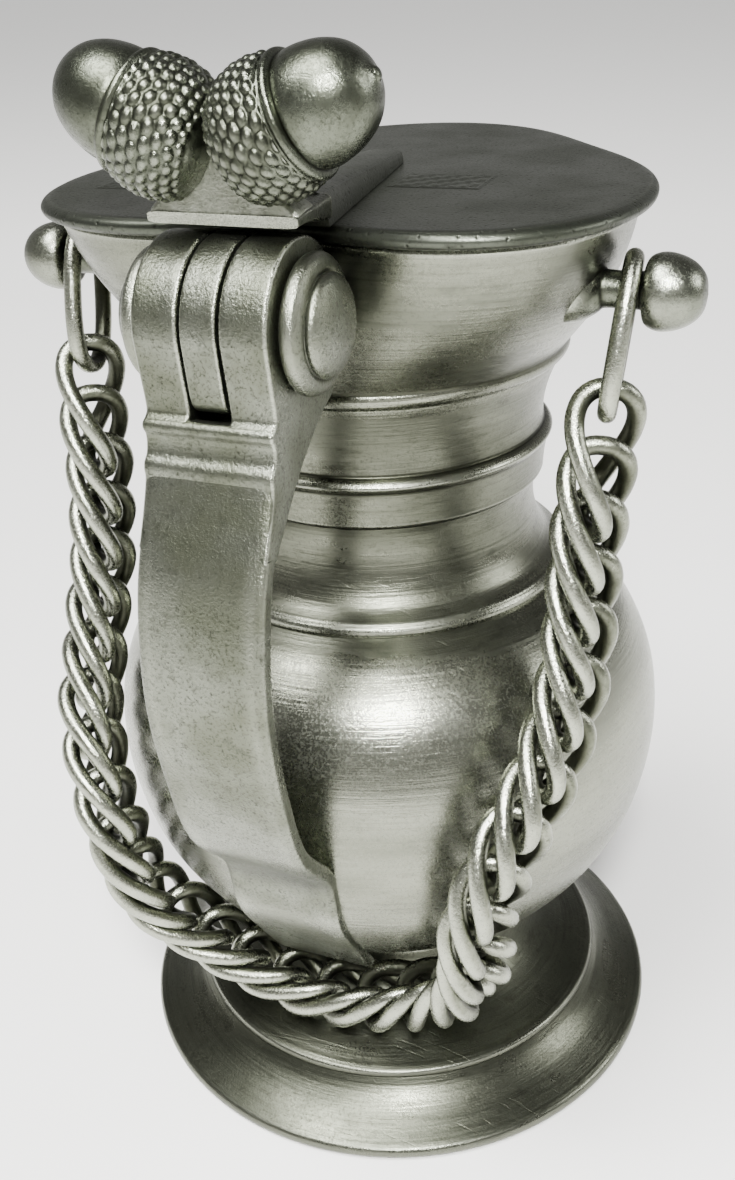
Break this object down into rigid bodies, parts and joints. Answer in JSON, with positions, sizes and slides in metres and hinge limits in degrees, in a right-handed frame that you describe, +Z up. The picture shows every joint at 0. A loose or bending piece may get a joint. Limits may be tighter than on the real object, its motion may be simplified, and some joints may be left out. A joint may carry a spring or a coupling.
{
  "type": "lidded flagon",
  "caption": "Pewter flagon with a bulbous body, a flared heart-shaped mouth, a hinged lid with a twin-acorn thumbpiece, a strap handle and a carrying chain hung from side studs.",
  "frame": {"origin": "centre of the foot's underside, on the table", "axes": "+Z up, -Y towards the handle and the hinge, +Y towards the pouring lip, +X towards the right chain stud"},
  "size_m": [0.136, 0.1435, 0.229],
  "materials": {
    "turned_pewter": "aged pewter with fine turning lines",
    "dark_pewter": "dull grey pewter with an old skin",
    "cast_pewter": "cast pewter, mottled, with worn edges",
    "chain_pewter": "satin wire, rubbed bright"
  },
  "bodies": {
    "vessel": {"foot": "dark_pewter", "base_disc": "dark_pewter", "bowl": "turned_pewter", "neck": "turned_pewter", "mouth": "turned_pewter", "handle": "cast_pewter", "hinge_pin": "cast_pewter", "pin_head_left": "cast_pewter", "pin_head_right": "cast_pewter", "stud_left": "cast_pewter", "stud_right": "cast_pewter"},
    "lid": {"lid": "dark_pewter", "hinge_strap": "dark_pewter", "thumb_base": "cast_pewter", "acorn_left": "cast_pewter", "acorn_right": "cast_pewter"},
    "chain": {"chain_link_01": "chain_pewter", "chain_link_02": "chain_pewter", "chain_link_03": "chain_pewter", "chain_link_04": "chain_pewter", "chain_link_05": "chain_pewter", "chain_link_06": "chain_pewter", "chain_link_07": "chain_pewter", "chain_link_08": "chain_pewter", "chain_link_09": "chain_pewter", "chain_link_10": "chain_pewter", "chain_link_11": "chain_pewter", "chain_link_12": "chain_pewter", "chain_link_13": "chain_pewter", "chain_link_14": "chain_pewter", "chain_link_15": "chain_pewter", "chain_link_16": "chain_pewter", "chain_link_17": "chain_pewter", "chain_link_18": "chain_pewter", "chain_link_19": "chain_pewter", "chain_link_20": "chain_pewter", "chain_link_21": "chain_pewter", "chain_link_22": "chain_pewter", "chain_link_23": "chain_pewter", "chain_link_24": "chain_pewter", "chain_link_25": "chain_pewter", "chain_link_26": "chain_pewter", "chain_link_27": "chain_pewter", "chain_link_28": "chain_pewter", "chain_link_29": "chain_pewter", "chain_link_30": "chain_pewter", "chain_link_31": "chain_pewter", "chain_link_32": "chain_pewter", "chain_link_33": "chain_pewter", "end_link_left": "chain_pewter", "end_link_right": "chain_pewter"}
  },
  "joints": [
    {"name": "lid_hinge", "type": "hinge", "parent": "vessel", "child": "lid", "pos_m": [0, -0.057, 0.1874], "axis": [1, 0, 0], "range_deg": [0, 90]},
    {"name": "chain_swing", "type": "hinge", "parent": "vessel", "child": "chain", "pos_m": [0, -0.017, 0.185], "axis": [-1, 0, 0], "range_deg": [0, 60]}
  ]
}
